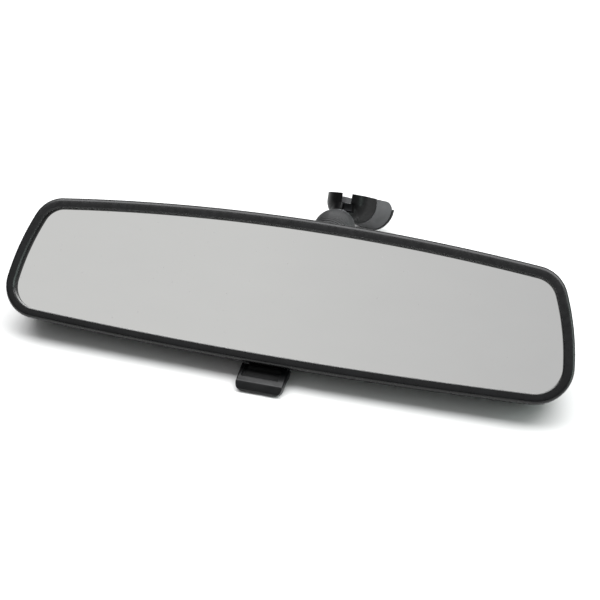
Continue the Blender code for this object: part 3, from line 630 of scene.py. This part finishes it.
TAB_CENTRE = -0.9 * MM
TAB_HALF_WIDTH = 10.9                # millimetres, like the tab's other values
TAB_BOTTOM = -43.3
TAB_TOP = Vector((3.8, -32.3))       # (depth, height) where the leaning face starts
TAB_EDGE = Vector((-1.05, -38.9))    # and where it turns down into the nose
GRIP_LEFT = -8.9                     # the grip field's sides, from the tab's centre
GRIP_RIGHT = 7.6
GRIP_LENGTH = 5.6
GRIP_OVERRUN = 1.5                   # how far the field runs up past the face's start
GRIP_DEEP = 1.7                      # how far in it lies at the top and at the bottom
GRIP_SHALLOW = 0.3
GRIP_STEPS = 9


def tab_block(material):
    """The tab's solid: a leaning face over a rounded nose, with round lower corners."""
    front = [(4.6, -31.2), tuple(TAB_TOP), tuple(TAB_EDGE), (-1.1, -39.8), (-1.2, -42.6), (-0.7, -43.1)]
    back = [(0.8, -43.2), (2.6, -41.0), (3.4, -38.6), (4.8, -36.2), (7.4, -34.4), (7.4, -31.2)]
    side = rounded_profile(scaled(front + back), 0.4 * MM, 4)
    bm = prism(side, -13.0 * MM, 13.0 * MM, "YZ")
    piece = add_piece("finger_tab", bm, material, "lever", ["day_night_lever"], HEAD)
    shoulder = Vector((11.1, -30.0))
    corner = Vector((10.05, TAB_BOTTOM))
    right = arc_corner(corner, shoulder, Vector((0.0, TAB_BOTTOM)), 3.4)
    half = [(0.0, shoulder.y), tuple(shoulder)] + right
    shape = half + [(-a, b) for a, b in reversed(half)][:-1]
    points = [(TAB_CENTRE + a * MM, b * MM) for a, b in shape]
    bake_boolean(piece, prism(points, -8 * MM, 12 * MM, "XZ"), "INTERSECT", HEAD)
    round_tab_sides(piece)
    soften(piece, 0.45 * MM)
    apply_modifiers(piece)
    return piece


def round_tab_sides(piece):
    """Rounds the long edges between the leaning face and the tab's sides."""
    down = (TAB_EDGE - TAB_TOP).normalized()
    along = Vector((0.0, -down.x, -down.y))
    depth = X_AXIS.cross(along)
    proud = -0.1
    deep = 9.0
    corner = Vector((TAB_HALF_WIDTH, proud))
    half = arc_corner(corner, Vector((0.0, proud)), Vector((TAB_HALF_WIDTH, deep)), 2.0, 6)
    half += [(TAB_HALF_WIDTH, deep)]
    section = [(-a, b) for a, b in reversed(half)] + half
    points = [(TAB_CENTRE + a * MM, b * MM) for a, b in section]
    place = HEAD + Vector((0.0, TAB_TOP.x, TAB_TOP.y)) * MM
    bake_boolean(piece, prism(points, -20 * MM, 30 * MM, "XY"), "INTERSECT", place, along, X_AXIS)


def arc_corner(corner, before, after, reach, steps=8):
    """A rounded corner between two straight sides."""
    start = corner + (before - corner).normalized() * reach
    end = corner + (after - corner).normalized() * reach
    points = []
    for i in range(steps + 1):
        t = i / steps
        points.append(tuple(start * (1 - t) ** 2 + corner * 2 * t * (1 - t) + end * t * t))
    return points


def stepped_field(piece):
    """Cuts the grip field: a scooped area with a floor of fine steps, deepest at the top."""
    down = (TAB_EDGE - TAB_TOP).normalized()
    inward = Vector((-down.y, down.x))

    def on_face(along, depth):
        return TAB_TOP + down * along + inward * depth

    def floor_at(share):
        return on_face(GRIP_LENGTH * share, GRIP_DEEP - (GRIP_DEEP - GRIP_SHALLOW) * share)

    clear = -3.0
    points = [tuple(on_face(GRIP_LENGTH, clear)), tuple(on_face(-GRIP_OVERRUN, clear))]
    points.append(tuple(on_face(-GRIP_OVERRUN, GRIP_DEEP + 0.2)))
    for i in range(GRIP_STEPS):
        share = i / GRIP_STEPS
        high = floor_at(share)
        low = floor_at((i + 1) / GRIP_STEPS)
        lean = max(0.0, 0.2 * (1 - 2.5 * share))
        points.append(tuple(high))
        points.append((high.x + lean, low.y + 0.06))
    points.append(tuple(floor_at(1.0)))
    left = TAB_CENTRE + GRIP_LEFT * MM
    right = TAB_CENTRE + GRIP_RIGHT * MM
    bake_boolean(piece, prism(scaled(points), left, right, "YZ"), "DIFFERENCE", HEAD)


def finger_tab(material):
    """The lever: the finger tab with its neck, hub and cam."""
    piece = tab_block(material)
    stepped_field(piece)
    soften(piece, 0.1 * MM, 2)
    neck_front = [(9.4, -23), (9.4, -28.3), (5.8, -31.0), (5.2, -33.4)]
    neck_back = [(7.0, -35.0), (10.2, -32.8), (12.8, -28.8), (14.6, -23)]
    neck = prism(scaled(neck_front + neck_back), -8.5 * MM, 8.5 * MM, "YZ")
    rest = add_piece("lever_neck", neck, material, "lever", None, HEAD)
    hub = turned(cylinder(2.9 * MM, -9 * MM, 9 * MM), 48)
    bake_boolean(rest, hub, "UNION", LEVER_AXIS, X_AXIS)
    cam_front = [(13.2, -20.6), (13.2, -24.2), (16.8, -24.2)]
    cam_back = [(16.8, -15.6), (15.2, -15.6), (15.2, -20.6)]
    bake_boolean(rest, prism(scaled(cam_front + cam_back), -4 * MM, 4 * MM, "YZ"), "UNION", HEAD)
    bore = turned(cylinder(1.6 * MM, -12 * MM, 12 * MM), 32)
    bake_boolean(rest, bore, "DIFFERENCE", LEVER_AXIS, X_AXIS)


# ---------------------------------------------------------------- arm

def ribbed_arc(radius, start, end, ribs, height):
    """A sphere's profile with fine ridges around it."""
    points = []
    steps = ribs * 6
    for i in range(steps + 1):
        angle = math.radians(start + (end - start) * i / steps)
        wave = math.cos(math.tau * ribs * i / steps)
        reach = radius - height * (0.5 - 0.5 * wave) ** 2
        points.append((reach * math.sin(angle), reach * math.cos(angle)))
    return points


def bell(material):
    """The finely ribbed bell that turns on the upper ball, with a short neck."""
    neck = rounded_profile(scaled([(6.6, -8.6), (6.6, -13.0), (5.6, -13.0), (5.6, -7.2)]), 0.4 * MM)
    profile = sphere_arc(8.95 * MM, 47.4, 47.4, 1)[:1]
    profile += ribbed_arc(10.6 * MM, 47.4, 141.0, 16, 0.16 * MM) + neck
    profile += sphere_arc(8.9 * MM, 141, 47.8, 20)
    add_piece("bell_cover", turned(profile, 96), material, "arm", ["arm_bell"],
              UPPER_BALL, ARM_AXIS)


def bell_snap_ring(material):
    """The bright ring that closes the bell's mouth."""
    profile = sphere_arc(10.95 * MM, 42, 47.0, 5) + sphere_arc(9.0 * MM, 47.0, 42, 5)
    piece = add_piece("bell_snap_ring", turned(profile, 96), material, "arm", ["bell_ring"],
                      UPPER_BALL, ARM_AXIS)
    soften(piece, 0.12 * MM, 2)


def arm_body(material):
    """The hollow arm, stepped under the bell and tapered to the lower stud."""
    lower_end = 14 - ARM_LENGTH / MM
    outside = [(4.4, -9.6), (5.3, -9.6), (5.3, -13.4), (6.2, -13.4), (6.2, -15.2)]
    outside += [(5.1, -20.0), (4.9, -33.0), (4.2, lower_end), (3.5, lower_end)]
    profile = scaled([(0.0, -26.0), (4.4, -26.0)]) + rounded_profile(scaled(outside), 0.6 * MM)
    profile += scaled([(3.5, -28.5), (0.0, -28.5)])
    add_piece("arm_body", turned(profile), material, "arm", ["arm_tube"],
              UPPER_BALL, ARM_AXIS)


def lower_stud(material):
    length = ARM_LENGTH / MM - 28.8
    profile = scaled([(0.0, length), (3.2, length), (3.2, 14.2), (2.9, 12.0), (2.9, 8.2), (3.1, 7.4)])
    profile += sphere_arc(7.5 * MM, 27, 180)
    add_piece("lower_stud", turned(profile), material, "arm", ["lower_ball_stud"],
              LOWER_BALL, ARM_AXIS)


def upper_stud(material):
    profile = scaled([(0.0, 16.8), (2.9, 16.8), (2.9, 7.8), (3.1, 7.0)])
    profile += sphere_arc(7.0 * MM, 29, 180)
    add_piece("upper_stud", turned(profile), material, "windshield_foot", ["upper_ball_stud"],
              UPPER_BALL, STEM_AXIS)


def ball_socket(material):
    """The socket that grips the lower ball, on the flange that its two screws hold."""
    flange = box(Vector((-19.5, 14.5, -6.0)) * MM, Vector((19.5, 16.6, 14.0)) * MM)
    piece = add_piece("ball_socket", flange, material, "carrier", ["socket_body"],
                      HEAD)
    neck = turned(cylinder(10 * MM, -12.2 * MM, 0.0), 64)
    bake_boolean(piece, neck, "UNION", LOWER_BALL, Y_AXIS)
    outer_ball = turned(sphere_arc(11.8 * MM, 0, 180, 36), 64)
    bake_boolean(piece, outer_ball, "UNION", LOWER_BALL, ARM_AXIS)
    inner_ball = turned(sphere_arc(9.5 * MM, 0, 180, 36), 64)
    bake_boolean(piece, inner_ball, "DIFFERENCE", LOWER_BALL, ARM_AXIS)
    reach = 20 * MM
    mouth = turned([(0.0, 0.0), (reach * math.tan(math.radians(46)), reach), (0.0, reach)], 64)
    bake_boolean(piece, mouth, "DIFFERENCE", LOWER_BALL, ARM_AXIS)
    for side in (-15.0, 15.0):
        hole = turned(cylinder(1.7 * MM, 10 * MM, 20 * MM), 24)
        bake_boolean(piece, hole, "DIFFERENCE", HEAD + Vector((side, 0.0, 4.0)) * MM, Y_AXIS)
    soften(piece, 0.35 * MM, 2)


# ---------------------------------------------------------------- foot

COVER_AXIS = heading(COVER_HEADING)
COVER_ACROSS = left_of(COVER_AXIS)


def cut_slot(piece):
    """Cuts the slot right through both walls of the cup."""
    sight = heading(SLOT_HEADING)
    across = left_of(sight)
    slot = box((-SLOT_WIDTH / 2, -SLOT_DEPTH, -30 * MM), (SLOT_WIDTH / 2, 5 * MM, 30 * MM))
    bake_boolean(piece, slot, "DIFFERENCE", across * SLOT_OFFSET, sight, across)


def d_section(radius, drop, top, steps=40):
    """A half-round section under a flat top, as points (across, height)."""
    centre = BOWL_CENTRE.z
    points = [(-radius, top)]
    for i in range(steps + 1):
        angle = math.pi * i / steps
        points.append((-radius * math.cos(angle), centre - drop * math.sin(angle)))
    points.append((radius, top))
    return points


def cup(material):
    """The slotted cup with a shoulder towards the cover, a boss for the stem and a tail for the screw."""
    piece = cup_bowl(material)
    join_shoulder(piece)
    boss = scaled([(0.0, 11.6), (4.4, 11.6), (4.9, 12.1), (7.6, 17.0), (7.6, 20.0), (0.0, 20.0)])
    bake_boolean(piece, turned(boss, 64), "UNION", UPPER_BALL, STEM_AXIS)
    hollow = turned(cylinder(CUP_INSIDE, -CUP_DEPTH, 3.0 * MM), 96)
    bake_boolean(piece, hollow, "DIFFERENCE")
    tail = box(Vector((-4.0, -10.0, 9.4)) * MM, Vector((4.0, -4.6, 19.1)) * MM)
    bake_boolean(piece, tail, "UNION", Vector(), COVER_AXIS, COVER_ACROSS)
    cut_slot(piece)
    recess = box(Vector((-1.3, -15.0, -9.4)) * MM, Vector((4.7, -9.6, -4.4)) * MM)
    bake_boolean(piece, recess, "DIFFERENCE")
    stem_hole = turned(cylinder(3.2 * MM, 8.0 * MM, 17.1 * MM), 48)
    bake_boolean(piece, stem_hole, "DIFFERENCE", UPPER_BALL, STEM_AXIS)
    screw_hole = turned(cylinder(SCREW_HOLE, 9.5 * MM, 23.0 * MM), 24)
    bake_boolean(piece, screw_hole, "DIFFERENCE", SCREW_PLACE, COVER_AXIS)
    soften(piece, 0.25 * MM, 2)


def cup_bowl(material):
    flatten = CUP_DROP / CUP_RADIUS
    arc = sphere_arc(CUP_RADIUS, 90, 180, 28)
    bowl = [(radius, height * flatten + BOWL_CENTRE.z) for radius, height in arc]
    rim = [(0.0, -CUP_DEPTH), (CUP_INSIDE, -CUP_DEPTH), (CUP_INSIDE, 0.0), (CUP_RADIUS, 0.0)]
    return add_piece("foot_cup", turned(rim + bowl, 96), material, "windshield_foot",
                     ["mount_cup"])


def join_shoulder(piece):
    """Runs the bowl's section on to the cover, where a lower spigot fills the joint."""
    shoulder = prism(d_section(CUP_RADIUS, CUP_DROP, 0.0), 0.0, COVER_START - COVER_GAP, "XY")
    bake_boolean(piece, shoulder, "UNION", Vector(), COVER_AXIS, COVER_ACROSS)
    section = d_section(CUP_RADIUS - SPIGOT_STEP, CUP_DROP - SPIGOT_STEP, -0.2 * MM)
    spigot = prism(section, 0.0, COVER_START - SPIGOT_CLEARANCE, "XY")
    bake_boolean(piece, spigot, "UNION", Vector(), COVER_AXIS, COVER_ACROSS)


def foot_cover(material):
    """The half-round cover: a shell that flares towards the end cap."""
    rings = []
    for distance, radius, drop, top in scaled(COVER_SECTIONS):
        wall = COVER_WALL if rings else COVER_LIP
        outside = d_section(radius, drop, top)
        inside = d_section(radius - wall, drop - wall, top)
        rings.append([(across, height, distance) for across, height in outside + inside[::-1]])
    piece = add_piece("foot_cover", loft(rings), material, "windshield_foot",
                      ["mount_cover"], Vector(), COVER_AXIS, COVER_ACROSS)
    soften(piece, 0.3 * MM, 2)


def foot_end_cap(material):
    start = COVER_END + 0.3 * MM
    disc = prism(d_section(CAP_RADIUS, CAP_DROP, CAP_TOP), start, start + CAP_THICK, "XY")
    piece = add_piece("foot_end_cap", disc, material, "windshield_foot",
                      ["mount_end_cap"], Vector(), COVER_AXIS, COVER_ACROSS)
    hole = turned(cylinder(SCREW_HOLE, 15.0 * MM, 25.0 * MM), 32)
    bake_boolean(piece, hole, "DIFFERENCE", SCREW_PLACE, COVER_AXIS)
    soften(piece, 0.5 * MM, 3)


def cap_screw(steel):
    """The cross-head screw that holds the end cap."""
    head = 21.7
    profile = [(0.0, 10.0), (1.6, 10.0), (1.6, head), (3.2, head), (3.2, head + 0.9)]
    profile += [(2.7, head + 1.4), (0.0, head + 1.7)]
    screw = add_piece("cap_screw", turned(scaled(profile), 48), steel, "windshield_foot",
                      ["end_cap_screw"], SCREW_PLACE, COVER_AXIS)
    for angle in (0.0, math.pi / 2):
        turn = Matrix.Rotation(angle, 3, COVER_AXIS) @ COVER_ACROSS
        cross = box(Vector((-1.9, -0.3, head + 0.7)) * MM, Vector((1.9, 0.3, head + 3.0)) * MM)
        bake_boolean(screw, cross, "DIFFERENCE", SCREW_PLACE, COVER_AXIS, turn)


def clip_strip(steel):
    """The bent spring strip across the cup."""
    sight = heading(SLOT_HEADING)
    rings = []
    for side, rise in ((-3.6, -1.6), (3.6, 0.5)):
        path = [(-7.7, -1.0), (-6.0, -3.6), (-4.8, -4.1), (4.0, -4.1), (5.0, -3.8), (7.7, -1.2 + rise)]
        under = [(along, height - 0.8) for along, height in reversed(path)]
        rings.append(scaled([(along, height, side) for along, height in path + under]))
    piece = add_piece("clip_strip", loft(rings), steel, "windshield_foot", ["spring_clip"],
                      Vector(), sight, left_of(sight))
    soften(piece, 0.12 * MM, 2)


def clip_hook(steel):
    """The strip's hooked tongue, down the recess in the cup's front."""
    tongue = [(-9.0, -4.6), (-10.6, -4.9), (-10.3, -6.4), (-10.0, -7.6), (-10.2, -8.6), (-9.8, -9.2)]
    behind = [(depth + 0.5, height) for depth, height in reversed(tongue)]
    bent = prism(scaled(tongue + behind), -0.6 * MM, 3.4 * MM, "YZ")
    piece = add_piece("clip_hook", bent, steel, "windshield_foot", None)
    soften(piece, 0.1 * MM, 2)


def rivet_head(steel):
    head = [(0.0, -3.2), (1.2, -3.25), (2.0, -3.6), (2.2, -3.8), (1.2, -3.8), (1.2, -8.2), (0.0, -8.2)]
    add_piece("rivet_head", turned(scaled(head), 48), steel, "windshield_foot",
              ["clip_rivet"], RIVET_PLACE)


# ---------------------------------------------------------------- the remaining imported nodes

def dress_packed_nodes(materials):
    """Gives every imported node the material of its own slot."""
    slots = {part["node"]: part["material_slot"] for part in frame["record"]["subparts"]}
    for node, slot in slots.items():
        piece = frame["nodes"][node]
        piece.data.materials.clear()
        piece.data.materials.append(materials[slot])


# ---------------------------------------------------------------- stage

KEY_ANGLE = 36.0                     # of the overhead light, forward of the glass's own upright
KEY_SIZE = (2.6, 0.95)
KEY_POWER = 50.0
KEY_DISTANCE = 1.25
KEY_SHIFT = 0.05                     # to the right
KEY_COLOUR = (0.985, 0.99, 1.0)
SIDE_PLACE = Vector((1.0, -0.3, 0.12))               # from the glass's centre, before the nod
SIDE_SIZE = (0.25, 0.8)
SIDE_POWER = 4.4
SIDE_COLOUR = (0.84, 1.0, 0.94)
ROOM_LEFT = (0.655, 0.655, 0.655)    # tones of the studio around the mirror
ROOM_RIGHT = (0.56, 0.56, 0.566)
HORIZON_FRONT = (0.09, 0.09, 0.095)
HORIZON_BEHIND = (0.5, 0.5, 0.505)
FLOOR_COLOUR = (0.62, 0.62, 0.615)
FLOOR_SIZE = 4.0
FLOOR_CLEARANCE = 0.2 * MM
EYE_PLACE = Vector((103.8, -416.1, -49.2)) * MM      # from the glass's centre, before the nod
EYE_RIGHT = Vector((0.9638, 0.1964, 0.1804))
EYE_UP = Vector((-0.1527, -0.1483, 0.9771))
FLOOR_TILT = math.radians(44.3)      # between the floor and the glass
FLOOR_NORMAL = NOD.to_3x3() @ Vector((0.0, -math.sin(FLOOR_TILT), math.cos(FLOOR_TILT)))


def resting_height():
    """How low the finger tab and the foot's end cap reach along the floor's normal."""
    heights = []
    for name in ("day_night_lever", "mount_end_cap"):
        node = frame["nodes"][name]
        heights += [(node.matrix_world @ vert.co).dot(FLOOR_NORMAL) for vert in node.data.vertices]
    return min(heights)


def floor(height):
    """A pale floor that the mirror lies on, leaning back. It is clear when seen from below."""
    mesh = bpy.data.meshes.new("floor")
    bm = bmesh.new()
    bmesh.ops.create_grid(bm, x_segments=1, y_segments=1, size=FLOOR_SIZE)
    bm.to_mesh(mesh)
    bm.free()
    plane = bpy.data.objects.new("floor", mesh)
    bpy.context.collection.objects.link(plane)
    plane.location = FLOOR_NORMAL * (height - FLOOR_CLEARANCE)
    plane.rotation_euler = FLOOR_NORMAL.to_track_quat("Z", "Y").to_euler()
    material, tree, shader = new_material("pale_floor")
    shader.inputs["Base Color"].default_value = (*FLOOR_COLOUR, 1.0)
    shader.inputs["Roughness"].default_value = 0.9
    geometry = tree.nodes.new("ShaderNodeNewGeometry")
    clear = tree.nodes.new("ShaderNodeBsdfTransparent")
    mix = tree.nodes.new("ShaderNodeMixShader")
    output = tree.nodes["Material Output"]
    tree.links.new(geometry.outputs["Backfacing"], mix.inputs["Fac"])
    tree.links.new(shader.outputs["BSDF"], mix.inputs[1])
    tree.links.new(clear.outputs["BSDF"], mix.inputs[2])
    tree.links.new(mix.outputs["Shader"], output.inputs["Surface"])
    mesh.materials.append(material)


def area_light(name, place, target, size, power, colour=(1.0, 1.0, 1.0)):
    light = bpy.data.lights.new(name, "AREA")
    light.shape = "RECTANGLE"
    light.size, light.size_y = size
    light.energy = power
    light.color = colour
    lamp = bpy.data.objects.new(name, light)
    bpy.context.collection.objects.link(lamp)
    lamp.location = place
    lamp.rotation_euler = (place - target).to_track_quat("Z", "Y").to_euler()
    return lamp


def along_axis(tree, axis):
    """How far the world's direction points along an axis, from -1 to 1."""
    coordinates = tree.nodes.new("ShaderNodeTexCoord")
    product = tree.nodes.new("ShaderNodeVectorMath")
    product.operation = "DOT_PRODUCT"
    product.inputs[1].default_value = axis
    tree.links.new(coordinates.outputs["Generated"], product.inputs[0])
    return product.outputs["Value"]


def world_light():
    """A pale studio: bright above, dim at the horizon in front and brighter behind."""
    world = bpy.data.worlds.new("studio")
    bpy.context.scene.world = world
    world.use_nodes = True
    tree = world.node_tree
    background = tree.nodes["Background"]
    side = remap(tree, along_axis(tree, X_AXIS), -0.27, 0.03, 0.0, 1.0)
    room = mix_colour(tree, side, ROOM_LEFT, ROOM_RIGHT)
    height = remap(tree, along_axis(tree, FLOOR_NORMAL), 0.3, 0.62, 0.0, 1.0)
    behind = remap(tree, along_axis(tree, Y_AXIS), 0.2, 0.6, 0.0, 1.0)
    horizon = mix_colour(tree, behind, HORIZON_FRONT, HORIZON_BEHIND)
    tree.links.new(mix_colour(tree, height, horizon, room), background.inputs["Color"])
    background.inputs["Strength"].default_value = 1.0


def camera():
    """The camera of the object's picture: low on the right of the glass, 43 cm away."""
    back = EYE_RIGHT.cross(EYE_UP).normalized()
    up = back.cross(EYE_RIGHT).normalized()
    data = bpy.data.cameras.new("camera")
    data.lens = 60.0
    data.sensor_width = 36.0
    eye = bpy.data.objects.new("camera", data)
    bpy.context.collection.objects.link(eye)
    turn = Matrix((EYE_RIGHT, up, back)).transposed().to_4x4()
    eye.matrix_world = NOD @ Matrix.Translation(HEAD + EYE_PLACE) @ turn
    bpy.context.scene.camera = eye


def stage():
    floor(resting_height())
    centre = NOD @ HEAD
    turn = NOD.to_3x3()
    angle = math.radians(KEY_ANGLE)
    forward = math.sin(angle) * KEY_DISTANCE
    above = math.cos(angle) * KEY_DISTANCE
    overhead = centre + turn @ Vector((KEY_SHIFT, -forward, above))
    area_light("overhead", overhead, centre, KEY_SIZE, KEY_POWER, KEY_COLOUR)
    beside = centre + turn @ SIDE_PLACE
    area_light("beside", beside, centre, SIDE_SIZE, SIDE_POWER, SIDE_COLOUR)
    world_light()
    camera()
    bpy.context.scene.view_settings.view_transform = "Standard"


def build():
    materials = make_materials()
    dress_packed_nodes(materials)
    front_frame(materials["bezel_plastic"])
    mirror_face(materials["mirror_coat"])
    rear_shell(materials["housing_plastic"])
    hole_collar(materials["housing_plastic"])
    finger_tab(materials["lever_plastic"])
    bell(materials["bell_plastic"])
    bell_snap_ring(materials["ring_metal"])
    arm_body(materials["arm_metal"])
    lower_stud(materials["steel"])
    upper_stud(materials["steel"])
    ball_socket(materials["inner_plastic"])
    cup(materials["cast_metal"])
    foot_cover(materials["cover_plastic"])
    foot_end_cap(materials["cap_plastic"])
    cap_screw(materials["steel"])
    clip_strip(materials["spring_steel"])
    clip_hook(materials["spring_steel"])
    rivet_head(materials["spring_steel"])
    stage()


build()
